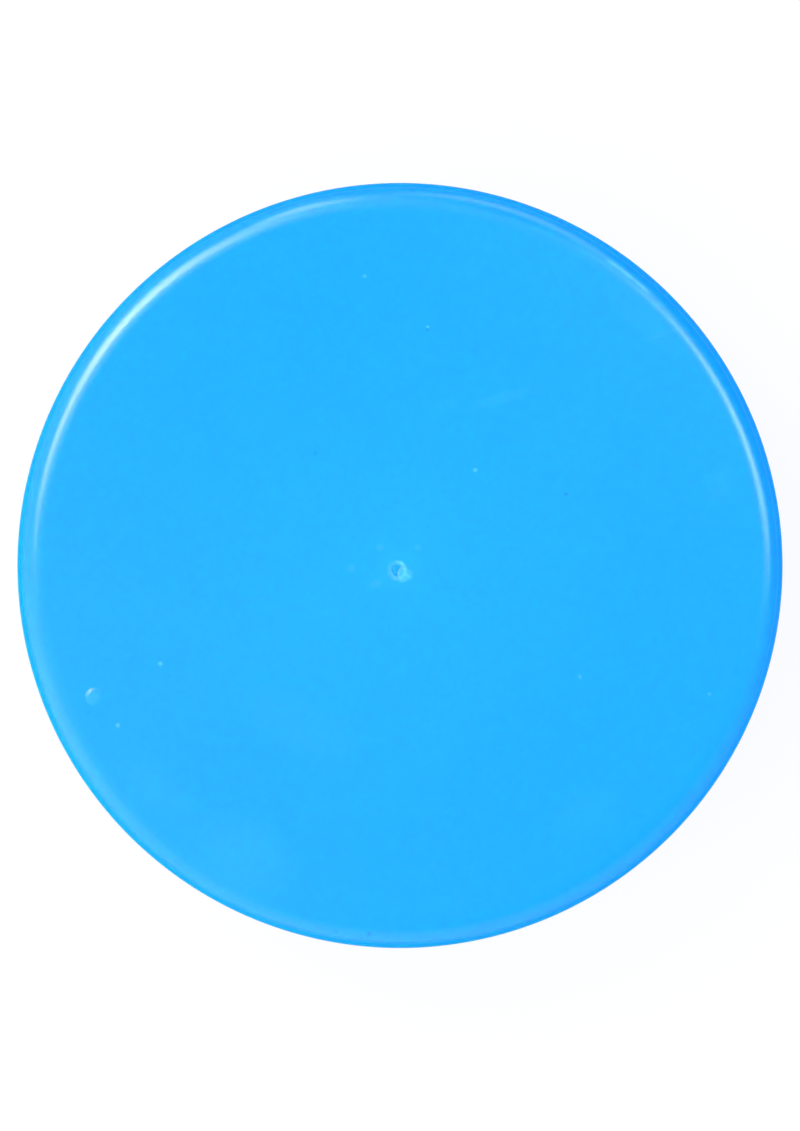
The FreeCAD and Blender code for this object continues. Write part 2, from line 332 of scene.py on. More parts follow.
nylon = {
    "colour": "#05AAFB",          # phthalo blue pigment
    "paleColour": "#0DAFFC",      # paler where the melt ran in at the gate
    "paleRadius": 27.0,
    "stressAndGlintColour": "#6CE2FF",    # paler where the sprue tore off, and the colour of the painted highlight streak on the shoulder
    "speckAndShadeColour": "#0282CE",      # burnt specks of pigment, and painted shade on the floor of the gate recess
    "markCore": 0.2,              # share of a mark's reach that has its full strength
    "cloudSize": 12.0, "cloudShare": 0.35,    # drifts in the pigment
    "cloudDetail": 2.0, "cloudRange": (0.15, 0.4),
    "grainSize": 0.5,             # mottling from the polished mould
    "grainDepth": 0.002, "grainDetail": 3.0,
    # the polished face, the spark-eroded land below it, whose pits trap the sheen, and the grip
    "roughness": (0.17, 0.55, 0.34),
    "gloss": (0.5, 0.07, 0.4),
    "landFrom": 0.55, "landBy": 1.05,     # below the face
    "gripFrom": 4.2, "gripBy": 4.7,
    "ior": 1.5,
    "scatter": 0.7, "scatterDepth": 2.4, "scatterByColour": (0.06, 0.2, 1.0),
    "stubRadius": 1.5, "scatterRadius": 2.6,    # the torn stub is too thin to scatter much
    "stubScatter": 0.4,
}

# marks that both halves take from the mould, and painted shade on the floor of the gate recess: x, y,
# length, width, turn, strength, colour
mouldMarks = [
    (-0.28, 0.5, 0.75, 0.85, 0, 0.12, "speckAndShadeColour"),       # painted shade on the floor of the gate recess
    (0.50, 0.95, 0.98, 0.9, 0, 0.2, "stressAndGlintColour"),       # the torn sprue
    (0.3, 0.1, 0.85, 0.3, 66, 0.4, "stressAndGlintColour"),
    (0.75, 1.0, 0.65, 0.3, 30, 0.3, "stressAndGlintColour"),
    (0.3, 1.45, 0.65, 0.3, -15, 0.25, "stressAndGlintColour"),
    (-30.2, 13.0, 1.08, 1.08, 0, 0.12, "stressAndGlintColour"),     # over the ejector pin
]

# specks and smudges on the face that is up, and a painted highlight streak on its shoulder, in the
# same order
faceMarks = [
    (2.7, 23.3, 0.24, 0.20, 0, 0.6, "speckAndShadeColour"),
    (2.75, 23.6, 0.18, 0.18, 0, 0.6, "stressAndGlintColour"),
    (7.45, 9.45, 0.32, 0.30, 0, 0.45, "stressAndGlintColour"),
    (16.4, 7.05, 0.34, 0.28, 0, 0.55, "speckAndShadeColour"),
    (-8.35, 11.1, 0.30, 0.30, 0, 0.35, "speckAndShadeColour"),
    (-3.5, 28.6, 0.32, 0.28, 0, 0.3, "stressAndGlintColour"),
    (-23.7, -9.7, 0.33, 0.32, 0, 0.48, "stressAndGlintColour"),
    (-27.9, -15.8, 0.33, 0.32, 0, 0.45, "stressAndGlintColour"),
    (17.8, -11.0, 0.28, 0.40, 20, 0.22, "stressAndGlintColour"),
    (30.6, -12.7, 0.28, 0.26, 0, 0.25, "stressAndGlintColour"),
    (-6.3, -36.25, 0.34, 0.3, 0, 0.5, "speckAndShadeColour"),
    (-3.05, -36.45, 0.34, 0.3, 0, 0.7, "speckAndShadeColour"),
    (-3.8, -36.85, 0.34, 0.3, 0, 0.5, "speckAndShadeColour"),
    (-4.8, -0.25, 0.5, 0.6, 0, 0.10, "stressAndGlintColour"),
    (-2.0, 1.8, 0.6, 0.5, 0, 0.10, "stressAndGlintColour"),
    (1.75, 1.8, 0.5, 0.5, 0, 0.08, "stressAndGlintColour"),
    (-2.4, -1.8, 1.0, 0.6, 20, 0.08, "stressAndGlintColour"),
    (10.2, 16.6, 4.6, 0.9, 16, 0.045, "stressAndGlintColour"),
    (4.4, 15.9, 2.6, 0.7, 4, 0.025, "stressAndGlintColour"),
    (25.8, 22.8, 2.4, 0.4, 20, 0.04, "stressAndGlintColour"),
    (23.95, 27.6, 1.5, 0.3, -41, 0.42, "stressAndGlintColour"),    # painted highlight: a bright glint streak along the shoulder, in three pieces
    (22.5, 28.8, 1.7, 0.3, -38, 0.48, "stressAndGlintColour"),
    (21.15, 29.8, 1.2, 0.28, -35, 0.42, "stressAndGlintColour"),
    (23.9, 24.3, 7.0, 1.8, -42, 0.025, "stressAndGlintColour"),
    (31.6, 8.0, 3.2, 1.8, 65, 0.025, "stressAndGlintColour"),
    (9.2, 12.5, 2.4, 2.0, 0, 0.03, "speckAndShadeColour"),
    (-15.6, -28.7, 7.5, 5.2, -25, 0.05, "stressAndGlintColour"),
    (-24.0, -22.3, 7.5, 3.2, -42, 0.03, "stressAndGlintColour"),
    (-10.0, -15.9, 8.5, 4.0, -28, 0.022, "stressAndGlintColour"),
    (18.6, -24.3, 5.5, 3.4, 30, 0.028, "stressAndGlintColour"),
]


def addMark(tree, place, colour, mark):
    # an oval that fades out at its edge, mixed over the colour below it
    x, y, length, width, turn, strength, tone = mark
    oval = addNode(tree, "ShaderNodeMapping", {
        "Vector": place, "Location": (x * mm, y * mm, 0), "Rotation": (0, 0, math.radians(turn)),
        "Scale": (length * mm, width * mm, mm)}, vector_type="TEXTURE")
    reach = addNode(tree, "ShaderNodeVectorMath", {0: oval}, operation="LENGTH")
    share = addNode(tree, "ShaderNodeMapRange", {
        "Value": reach.outputs["Value"], "From Min": 1.0, "From Max": nylon["markCore"],
        "To Max": strength}, interpolation_type="SMOOTHSTEP")
    return addNode(tree, "ShaderNodeMix", {
        "Factor": share, "A": colour, "B": linearColour(nylon[tone])}, data_type="RGBA").outputs[2]


# the pale ring round the gate
gateEdge = {
    "middle": 0.8,                # share of the gate's radius
    "reach": 0.28, "core": 0.05,     # to either side of its middle
    "breakSize": 0.9, "breakRange": (0.4, 0.62),
    "strength": (0.2, 0.45),      # where it breaks, and where it is whole
}


def gateRing(tree, place, colour, fromGate):
    # the paler wall of the gate recess, broken here and there
    middle = halfShell["gateRadius"] * gateEdge["middle"] * mm
    near = addNode(tree, "ShaderNodeMath", {0: fromGate, 1: middle}, operation="SUBTRACT")
    apart = addNode(tree, "ShaderNodeMath", {0: near}, operation="ABSOLUTE")
    band = addNode(tree, "ShaderNodeMapRange", {
        "Value": apart, "From Min": gateEdge["reach"] * mm, "From Max": gateEdge["core"] * mm},
        interpolation_type="SMOOTHSTEP")
    breaks = addNode(tree, "ShaderNodeTexNoise", {
        "Vector": place, "Scale": 1 / (gateEdge["breakSize"] * mm)})
    strength = addNode(tree, "ShaderNodeMapRange", {
        "Value": breaks, "From Min": gateEdge["breakRange"][0], "From Max": gateEdge["breakRange"][1],
        "To Min": gateEdge["strength"][0], "To Max": gateEdge["strength"][1]})
    share = addNode(tree, "ShaderNodeMath", {0: band, 1: strength}, operation="MULTIPLY")
    return addNode(tree, "ShaderNodeMix", {
        "Factor": share, "A": colour, "B": linearColour(nylon["stressAndGlintColour"])},
        data_type="RGBA").outputs[2]


def addGrain(tree, shader, place, finish):
    # the fine bump of a finish
    grain = addNode(tree, "ShaderNodeTexNoise", {
        "Vector": place, "Scale": 1 / (finish["grainSize"] * mm), "Detail": finish["grainDetail"]})
    bump = addNode(tree, "ShaderNodeBump", {
        "Height": grain, "Distance": finish["grainDepth"] * mm, "Strength": 1.0})
    tree.links.new(bump.outputs[0], shader.inputs["Normal"])
    return grain


def addPatches(tree, shader, place, finish):
    # the second colour of a finish, in soft patches over the first
    patches = addNode(tree, "ShaderNodeTexNoise", {
        "Vector": place, "Scale": 1 / (finish["patchSize"] * mm), "Detail": finish["patchDetail"]})
    share = addNode(tree, "ShaderNodeMapRange", {
        "Value": patches, "From Min": finish["patchRange"][0], "From Max": finish["patchRange"][1]})
    colour = addNode(tree, "ShaderNodeMix", {
        "Factor": share, "A": linearColour(finish["colour"]),
        "B": linearColour(finish["patchColour"])}, data_type="RGBA").outputs[2]
    tree.links.new(colour, shader.inputs["Base Color"])
    return patches


def mouldedNylon(name, marks, isTurned):
    # injection-moulded nylon: an even deep blue under a clear gloss, with faint drifts of pigment
    material, tree, shader, place = newMaterial(name)
    if isTurned:
        place = addNode(tree, "ShaderNodeMapping", {
            "Vector": place, "Location": (0, 0, puckHeight * mm), "Rotation": (math.pi, 0, 0)})
    clouds = addNode(tree, "ShaderNodeTexNoise", {
        "Vector": place, "Scale": 1 / (nylon["cloudSize"] * mm), "Detail": nylon["cloudDetail"]})
    grain = addGrain(tree, shader, place, nylon)
    gate = Vector((halfShell["gateX"], halfShell["gateY"], 0)) * mm
    across = addNode(tree, "ShaderNodeVectorMath", {0: place, 1: gate}, operation="SUBTRACT")
    fromGate = addNode(tree, "ShaderNodeVectorMath", {0: across}, operation="LENGTH").outputs["Value"]
    both = addNode(tree, "ShaderNodeMath", {0: clouds, 1: grain}, operation="MULTIPLY")
    drift = addNode(tree, "ShaderNodeMapRange", {
        "Value": both, "From Min": nylon["cloudRange"][0], "From Max": nylon["cloudRange"][1],
        "To Min": -nylon["cloudShare"] / 2, "To Max": nylon["cloudShare"] / 2})
    flow = addNode(tree, "ShaderNodeMapRange", {
        "Value": fromGate, "From Min": nylon["paleRadius"] * mm, "From Max": 0.0})
    share = addNode(tree, "ShaderNodeMath", {0: flow, 1: drift}, operation="ADD", use_clamp=True)
    colour = addNode(tree, "ShaderNodeMix", {
        "Factor": share, "A": linearColour(nylon["colour"]),
        "B": linearColour(nylon["paleColour"])}, data_type="RGBA").outputs[2]
    # specks and marks, among them painted shade on the floor of the gate recess and, on the face that
    # is up, a painted highlight streak on the shoulder
    for mark in marks:
        colour = addMark(tree, place, colour, mark)
    colour = gateRing(tree, place, colour, fromGate)
    tree.links.new(colour, shader.inputs["Base Color"])
    depth = addNode(tree, "ShaderNodeSeparateXYZ", {"Vector": place}).outputs["Z"]
    onLand = addNode(tree, "ShaderNodeMapRange", {
        "Value": depth, "From Min": nylon["landFrom"] * mm, "From Max": nylon["landBy"] * mm},
        interpolation_type="SMOOTHSTEP")
    onGrip = addNode(tree, "ShaderNodeMapRange", {
        "Value": depth, "From Min": nylon["gripFrom"] * mm, "From Max": nylon["gripBy"] * mm})
    for socket, (face, land, grip) in (("Roughness", nylon["roughness"]),
                                       ("Specular IOR Level", nylon["gloss"])):
        upper = addNode(tree, "ShaderNodeMix", {"Factor": onLand, "A": face, "B": land})
        whole = addNode(tree, "ShaderNodeMix", {"Factor": onGrip, "A": upper, "B": grip})
        tree.links.new(whole.outputs[0], shader.inputs[socket])
    shader.inputs["IOR"].default_value = nylon["ior"]
    scatter = addNode(tree, "ShaderNodeMapRange", {
        "Value": fromGate, "From Min": nylon["stubRadius"] * mm,
        "From Max": nylon["scatterRadius"] * mm, "To Min": nylon["stubScatter"],
        "To Max": nylon["scatter"]})
    tree.links.new(scatter.outputs[0], shader.inputs["Subsurface Weight"])
    shader.inputs["Subsurface Scale"].default_value = nylon["scatterDepth"] * mm
    shader.inputs["Subsurface Radius"].default_value = nylon["scatterByColour"]
    return material


steel = {
    "colour": "#C9CCD0",          # bright zinc plate
    "patchColour": "#C6C4B2",     # the passivation film, faintly yellow in places
    "patchSize": 9.0, "patchDetail": 4.0, "patchRange": (0.4, 0.65),
    "grainSize": 0.35,            # rubbed matt in the tumbling drum
    "grainDepth": 0.01, "grainDetail": 2.0,
    "roughness": (0.28, 0.45), "dullRange": (0.35, 0.65),     # bright, and dull under the film
}


def zincPlatedSteel():
    # zinc-plated steel: pale grey metal with a soft sheen and a patchy film
    material, tree, shader, place = newMaterial("zincPlatedSteel")
    film = addPatches(tree, shader, place, steel)
    sheen = addNode(tree, "ShaderNodeMapRange", {
        "Value": film, "From Min": steel["dullRange"][0], "From Max": steel["dullRange"][1],
        "To Min": steel["roughness"][0], "To Max": steel["roughness"][1]})
    tree.links.new(sheen.outputs[0], shader.inputs["Roughness"])
    addGrain(tree, shader, place, steel)
    shader.inputs["Metallic"].default_value = 1.0
    return material


rubber = {
    "colour": "#1E1F21",          # carbon black
    "patchColour": "#3A3B3E",     # talc that is left from the mill
    "patchSize": 5.0, "patchDetail": 5.0, "patchRange": (0.45, 0.7),
    "grainSize": 0.25,            # the cloth that the sheet was rolled on
    "grainDepth": 0.03, "grainDetail": 2.0,
    "roughness": 0.78,
}


def sheetRubber():
    # black sheet rubber: dull, a little dusty, with a fine rolled grain
    material, tree, shader, place = newMaterial("sheetRubber")
    addPatches(tree, shader, place, rubber)
    addGrain(tree, shader, place, rubber)
    shader.inputs["Roughness"].default_value = rubber["roughness"]
    return material


def turnedSurface(tree, profile, columns):
    # a grid, one row for each point of the profile and one column for each step round Z
    points = addNode(tree, "GeometryNodeObjectInfo", {"Object": profile}).outputs["Geometry"]
    rows = addNode(tree, "GeometryNodeAttributeDomainSize", {"Geometry": points})
    edges = addNode(tree, "FunctionNodeIntegerMath", {0: columns, 1: 1}, operation="ADD")
    grid = addNode(tree, "GeometryNodeMeshGrid", {"Vertices X": edges, "Vertices Y": rows})
    index = addNode(tree, "GeometryNodeInputIndex")
    row = addNode(tree, "FunctionNodeIntegerMath", {0: index, 1: rows}, operation="MODULO")
    column = addNode(tree, "FunctionNodeIntegerMath", {0: index, 1: rows}, operation="DIVIDE_FLOOR")
    turn = addNode(tree, "ShaderNodeMath", {0: column, 1: columns}, operation="DIVIDE")
    angle = addNode(tree, "ShaderNodeMath", {0: turn, 1: math.tau}, operation="MULTIPLY")
    place = addNode(tree, "GeometryNodeSampleIndex", {
        "Geometry": points, "Value": addNode(tree, "GeometryNodeInputPosition"), "Index": row},
        data_type="FLOAT_VECTOR")
    corner = addNode(tree, "ShaderNodeSeparateXYZ", {"Vector": place})
    return {"grid": grid.outputs["Mesh"], "points": points, "row": row, "turn": turn,
            "angle": angle, "radius": corner.outputs["X"], "height": corner.outputs["Z"]}


def rowNumber(tree, surface, name):
    # a named number of the profile's rows, read at each point of the grid
    return addNode(tree, "GeometryNodeSampleIndex", {
        "Geometry": surface["points"], "Index": surface["row"],
        "Value": addNode(tree, "GeometryNodeInputNamedAttribute", {"Name": name})})


def placeRoundZ(tree, radius, angle, height):
    cosine = addNode(tree, "ShaderNodeMath", {0: angle}, operation="COSINE")
    sine = addNode(tree, "ShaderNodeMath", {0: angle}, operation="SINE")
    x = addNode(tree, "ShaderNodeMath", {0: radius, 1: cosine}, operation="MULTIPLY")
    y = addNode(tree, "ShaderNodeMath", {0: radius, 1: sine}, operation="MULTIPLY")
    return addNode(tree, "ShaderNodeCombineXYZ", {"X": x, "Y": y, "Z": height})


def closeSurface(tree, surface, radius, height, joinWithin, shift=None):
    # bends the grid round Z, moves it if asked, and joins its two ends and its poles
    place = placeRoundZ(tree, radius, surface["angle"], height)
    moved = {"Offset": shift} if shift else {}
    bent = addNode(tree, "GeometryNodeSetPosition", {
        "Geometry": surface["grid"], "Position": place, **moved})
    return addNode(tree, "GeometryNodeMergeByDistance", {
        "Geometry": bent, "Distance": joinWithin})


def arc(centreRadius, centreHeight, radius, start, end, steps):
    # points along a quarter round or less, from one angle to the other, in degrees
    for step in range(steps + 1):
        angle = math.radians(start + (end - start) * step / steps)
        yield centreRadius + radius * math.cos(angle), centreHeight + radius * math.sin(angle)


def profileObject(name, rows, extras=()):
    # rows of radius and height in mm, and any named numbers that go with each row
    mesh = bpy.data.meshes.new(name)
    mesh.from_pydata([(row[0] * mm, 0, row[1] * mm) for row in rows], [], [])
    for place, extra in enumerate(extras, start=2):
        layer = mesh.attributes.new(extra, "FLOAT", "POINT")
        layer.data.foreach_set("value", [row[place] if len(row) > place else 0 for row in rows])
    return bpy.data.objects.new(name, mesh)


# one moulded half, face down
halfShell = {
    "columns": 480, "easeSteps": 6, "shoulderSteps": 32, "cornerSteps": 6,
    "facePlate": 2.8, "wall": 3.0, "shoulderRadius": 2.4, "innerCorner": 1.2,
    "easeWidth": 0.6, "easeAngle": 6,       # the face falls away gently before the shoulder
    "landHeight": 4.2, "landEdge": 0.1,     # an extra row this far from the land's edge keeps it crisp
    "gripRecess": 0.5, "seamBevel": 0.2,
    "tongueWidth": 0.8, "tongueHeight": 1.2, "tongueLead": 0.2, "seamClearance": 0.1,
    "tongueShare": 0.492, "grooveShare": 0.498,     # of a turn, either side of the middle
    "wellClearance": 0.4, "wellWall": 1.8, "wellGap": 0.3,
    "postRadius": 4.0, "postBore": 2.0, "postClearance": 0.5,
    "gateRadius": 1.0, "gateDepth": 0.25,
    # shares of the gate's radius and depth, from its floor up its sloping wall and out on the face
    "gateWall": ((0.6, 1.0), (0.75, 0.7), (0.9, 0.2), (1.0, 0.0), (1.2, 0.0)),
    "vestigeRadius": 0.45, "vestigeTopRadius": 0.36, "vestigeHeight": 0.12,
    "gateX": -0.28, "gateY": 0.5,       # how far the gate was bored off the middle
    "sharpAngle": 32,
    "levelMargin": 0.01,    # past the level face, to take in its last row
}


def halfShellRows():
    # radius, height, side of the seam rail, share of the seam rail's height, share of the gate's shift
    shell = halfShell
    shoulder = shell["shoulderRadius"]
    band = puckRadius - shell["gripRecess"]
    inner = puckRadius - shell["wall"]
    rail = (band + inner) / 2
    wellInner = washerHigh.x + shell["wellClearance"]
    wellOuter = wellInner + shell["wellWall"]
    plate = shell["facePlate"]
    floor = shell["gateDepth"]
    stub = floor - shell["vestigeHeight"]
    dish = [(0, stub), (shell["vestigeTopRadius"], stub), (shell["vestigeRadius"], floor)]
    dish += [(shell["gateRadius"] * out, floor * down) for out, down in shell["gateWall"]]
    rows = [(radius, height, 0, 0, 1) for radius, height in dish]
    edge = puckRadius - shoulder
    slack = shell["easeWidth"] / math.sin(math.radians(shell["easeAngle"]))
    drop = slack * (1 - math.cos(math.radians(shell["easeAngle"])))
    rows += arc(edge - shell["easeWidth"], slack + shoulder, slack + shoulder,
                -90, shell["easeAngle"] - 90, shell["easeSteps"])
    rows += arc(edge, shoulder + drop, shoulder, shell["easeAngle"] - 90, 0, shell["shoulderSteps"])
    rows += [(puckRadius, shell["landHeight"] - shell["landEdge"]), (puckRadius, shell["landHeight"])]
    rows += [(band, shell["landHeight"] + shell["gripRecess"])]
    rows += [(band, rimHeight - shell["seamBevel"]), (band - shell["seamBevel"], rimHeight)]
    lead = 1 - shell["tongueLead"] / shell["tongueHeight"]
    rows += [(rail, rimHeight, 1, 0), (rail, rimHeight, 1, lead), (rail, rimHeight, 0.5, 1)]
    rows += [(rail, rimHeight, -0.5, 1), (rail, rimHeight, -1, lead), (rail, rimHeight, -1, 0)]
    rows += [(inner, rimHeight)]
    corner = shell["innerCorner"]
    rows += arc(inner - corner, plate + corner, corner, 0, -90, shell["cornerSteps"])
    rows += [(wellOuter, plate), (wellOuter, rimHeight - shell["wellGap"])]
    rows += [(wellInner, rimHeight - shell["wellGap"]), (wellInner, plate)]
    rows += [(shell["postRadius"], plate), (shell["postRadius"], rimHeight)]
    rows += [(shell["postBore"], rimHeight), (shell["postBore"], plate), (0, plate)]
    return rows


def halfShellTree():
    tree, given = newTree("mouldedHalf", {
        "Profile": "Object", "Columns": "Int", "Merge Distance": "Float",
        "Rail Half Width": "Float", "Rail Height": "Float", "Clearance": "Float",
        "Gate Shift": "Vector", "Details": "Collection", "Material": "Material"})
    surface = turnedSurface(tree, given["Profile"], given["Columns"])
    side = rowNumber(tree, surface, "railSide")
    lift = rowNumber(tree, surface, "railLift")
    # the rail is a tongue on the first half turn and a groove in the second
    isTongue = addNode(tree, "ShaderNodeMath", {
        0: surface["turn"], 1: 0.25, 2: halfShell["tongueShare"] / 2}, operation="COMPARE")
    isGroove = addNode(tree, "ShaderNodeMath", {
        0: surface["turn"], 1: 0.75, 2: halfShell["grooveShare"] / 2}, operation="COMPARE")
    depth = addNode(tree, "ShaderNodeMath", {
        0: given["Rail Height"], 1: given["Clearance"]}, operation="ADD")
    sunk = addNode(tree, "ShaderNodeMath", {0: depth, 1: isGroove}, operation="MULTIPLY")
    raised = addNode(tree, "ShaderNodeMath", {
        0: given["Rail Height"], 1: isTongue}, operation="MULTIPLY")
    level = addNode(tree, "ShaderNodeMath", {0: raised, 1: sunk}, operation="SUBTRACT")
    height = addNode(tree, "ShaderNodeMath", {
        0: lift, 1: level, 2: surface["height"]}, operation="MULTIPLY_ADD")
    halfWidth = addNode(tree, "ShaderNodeMath", {
        0: given["Clearance"], 1: isGroove, 2: given["Rail Half Width"]}, operation="MULTIPLY_ADD")
    radius = addNode(tree, "ShaderNodeMath", {
        0: side, 1: halfWidth, 2: surface["radius"]}, operation="MULTIPLY_ADD")
    shift = addNode(tree, "ShaderNodeVectorMath", {
        0: given["Gate Shift"], "Scale": rowNumber(tree, surface, "gateShare")}, operation="SCALE")
    closed = closeSurface(tree, surface, radius, height, given["Merge Distance"], shift)
    details = addNode(tree, "GeometryNodeRealizeInstances", {
        "Geometry": addNode(tree, "GeometryNodeCollectionInfo", {"Collection": given["Details"]})})
    joined = addNode(tree, "GeometryNodeMeshBoolean", {"Mesh 2": [closed, details]},
                     operation="UNION", solver="MANIFOLD")
    return finishTree(tree, joined, given["Material"])


ribs = {"count": 12, "seatCount": 6, "thickness": 1.6, "draft": 0.5, "drop": 2.5, "sunk": 0.4}


def ribTree():
    # one rib with leaning sides, repeated round Z
    tree, given = newTree("ribSet", {
        "Count": "Int", "Inner Radius": "Float", "Outer Radius": "Float", "Foot": "Float",
        "Top": "Float", "Thickness": "Float", "Top Thickness": "Float", "Material": "Material"})
    length = addNode(tree, "ShaderNodeMath", {
        0: given["Outer Radius"], 1: given["Inner Radius"]}, operation="SUBTRACT")
    rise = addNode(tree, "ShaderNodeMath", {0: given["Top"], 1: given["Foot"]}, operation="SUBTRACT")
    block = addNode(tree, "GeometryNodeMeshCube", {
        "Size": addNode(tree, "ShaderNodeCombineXYZ", {"X": length, "Y": 1.0, "Z": rise})})
    place = addNode(tree, "ShaderNodeSeparateXYZ", {
        "Vector": addNode(tree, "GeometryNodeInputPosition")}).outputs
    atTop = addNode(tree, "ShaderNodeMath", {0: place["Z"], 1: 0.0}, operation="GREATER_THAN")
    width = addNode(tree, "ShaderNodeMapRange", {
        "Value": atTop, "To Min": given["Thickness"], "To Max": given["Top Thickness"]})
    middleRadius = addNode(tree, "ShaderNodeMath", {
        0: length, 1: 0.5, 2: given["Inner Radius"]}, operation="MULTIPLY_ADD")
    middleHeight = addNode(tree, "ShaderNodeMath", {
        0: rise, 1: 0.5, 2: given["Foot"]}, operation="MULTIPLY_ADD")
    x = addNode(tree, "ShaderNodeMath", {0: place["X"], 1: middleRadius}, operation="ADD")
    y = addNode(tree, "ShaderNodeMath", {0: place["Y"], 1: width}, operation="MULTIPLY")
    z = addNode(tree, "ShaderNodeMath", {0: place["Z"], 1: middleHeight}, operation="ADD")
    leaning = addNode(tree, "GeometryNodeSetPosition", {
        "Geometry": block,
        "Position": addNode(tree, "ShaderNodeCombineXYZ", {"X": x, "Y": y, "Z": z})})
    step = addNode(tree, "ShaderNodeMath", {0: math.tau, 1: given["Count"]}, operation="DIVIDE")
    turned = addNode(tree, "ShaderNodeMath", {
        0: addNode(tree, "GeometryNodeInputIndex"), 1: step}, operation="MULTIPLY")
    ring = addNode(tree, "GeometryNodeInstanceOnPoints", {
        "Points": addNode(tree, "GeometryNodePoints", {"Count": given["Count"]}),
        "Instance": leaning,
        "Rotation": addNode(tree, "FunctionNodeEulerToRotation", {
            "Euler": addNode(tree, "ShaderNodeCombineXYZ", {"Z": turned})})})
    return finishTree(tree, ring, given["Material"])


def ribSets(material):
    inner = puckRadius - halfShell["wall"]
    wellMiddle = washerHigh.x + halfShell["wellClearance"] + halfShell["wellWall"] / 2
    foot = halfShell["facePlate"] - ribs["sunk"]
    lean = math.tan(math.radians(ribs["draft"]))
    spans = {
        "stiffeningRibs": (ribs["count"], wellMiddle, inner + ribs["sunk"], rimHeight - ribs["drop"]),
        "seatRibs": (ribs["seatCount"], halfShell["postRadius"] - ribs["sunk"], wellMiddle, padLow.z),
    }
    tree = ribTree()
    for name, (count, start, end, top) in spans.items():
        yield bakeTree(name, tree, {
            "Count": count, "Inner Radius": start * mm, "Outer Radius": end * mm,
            "Foot": foot * mm, "Top": top * mm, "Thickness": ribs["thickness"] * mm,
            "Top Thickness": (ribs["thickness"] - 2 * lean * (top - foot)) * mm,
            "Material": material})


grip = {"around": 60, "rows": 3, "height": 3.65, "groove": 0.32, "rise": 0.35, "sunk": 0.15,
        "topShare": 0.72}


def gripTree():
    # staggered rows of flat-topped diamonds standing on the grip band
    tree, given = newTree("gripDiamonds", {
        "Around": "Int", "Rows": "Int", "Band Radius": "Float", "Middle": "Float",
        "Diamond Width": "Float", "Diamond Height": "Float", "Row Step": "Float",
        "Depth": "Float", "Sunk": "Float", "Top Share": "Float", "Material": "Material"})
    diamond = addNode(tree, "GeometryNodeMeshCone", {
        "Vertices": 4, "Radius Bottom": 0.5, "Depth": given["Depth"],
        "Radius Top": addNode(tree, "ShaderNodeMath", {
            0: given["Top Share"], 1: 0.5}, operation="MULTIPLY")}, fill_type="NGON")
    count = addNode(tree, "FunctionNodeIntegerMath", {
        0: given["Around"], 1: given["Rows"]}, operation="MULTIPLY")
    index = addNode(tree, "GeometryNodeInputIndex")
    row = addNode(tree, "FunctionNodeIntegerMath", {0: index, 1: given["Rows"]}, operation="MODULO")
    column = addNode(tree, "FunctionNodeIntegerMath", {
        0: index, 1: given["Rows"]}, operation="DIVIDE_FLOOR")
    stagger = addNode(tree, "ShaderNodeMath", {0: row, 1: 0.5, 2: column}, operation="MULTIPLY_ADD")
    turn = addNode(tree, "ShaderNodeMath", {0: stagger, 1: given["Around"]}, operation="DIVIDE")
    angle = addNode(tree, "ShaderNodeMath", {0: turn, 1: math.tau}, operation="MULTIPLY")
    reach = addNode(tree, "ShaderNodeMath", {
        0: given["Band Radius"], 1: given["Sunk"]}, operation="SUBTRACT")
    lastRow = addNode(tree, "ShaderNodeMath", {0: given["Rows"], 1: 1.0}, operation="SUBTRACT")
    steps = addNode(tree, "ShaderNodeMath", {0: lastRow, 1: -0.5, 2: row}, operation="MULTIPLY_ADD")
    height = addNode(tree, "ShaderNodeMath", {
        0: steps, 1: given["Row Step"], 2: given["Middle"]}, operation="MULTIPLY_ADD")
    standing = addNode(tree, "GeometryNodeInstanceOnPoints", {
        "Points": addNode(tree, "GeometryNodePoints", {
            "Count": count, "Position": placeRoundZ(tree, reach, angle, height)}),
        "Instance": diamond,
        "Scale": addNode(tree, "ShaderNodeCombineXYZ", {
            "X": given["Diamond Height"], "Y": given["Diamond Width"], "Z": 1.0}),
        "Rotation": addNode(tree, "FunctionNodeEulerToRotation", {
            "Euler": addNode(tree, "ShaderNodeCombineXYZ", {"Y": math.pi / 2, "Z": angle})})})
    return finishTree(tree, standing, given["Material"])


def gripDiamonds(material):
    band = puckRadius - halfShell["gripRecess"]
    foot = halfShell["landHeight"] + halfShell["gripRecess"]
    top = rimHeight - halfShell["seamBevel"]
    return bakeTree("gripDiamonds", gripTree(), {
        "Around": grip["around"], "Rows": grip["rows"], "Band Radius": band * mm,
        "Middle": (foot + top) / 2 * mm,
        "Diamond Width": (math.tau * band / grip["around"] - grip["groove"]) * mm,
        "Diamond Height": (grip["height"] - grip["groove"]) * mm,
        "Row Step": grip["height"] / 2 * mm, "Depth": (grip["rise"] + grip["sunk"]) * mm,
        "Sunk": grip["sunk"] * mm, "Top Share": grip["topShare"], "Material": material})


pinMark = {"x": -30.2, "y": 13.0, "topRadius": 0.50, "footRadius": 1.05, "rise": 0.07, "sunk": 0.3,
           "skirt": 0.006, "steps": 8, "columns": 48}


def pinMarkRows():
    # a low round swelling over the ejector pin, with a softly curved edge
    mark = pinMark
    rows = [(0, -mark["rise"])]
    for step in range(mark["steps"] + 1):
        share = step / mark["steps"]
        radius = mark["topRadius"] + (mark["footRadius"] - mark["topRadius"]) * share
        drop = (mark["rise"] + mark["skirt"]) * (1 - math.cos(math.pi * share)) / 2
        rows.append((radius, drop - mark["rise"]))
    return rows + [(mark["footRadius"], mark["sunk"]), (0, mark["sunk"])]


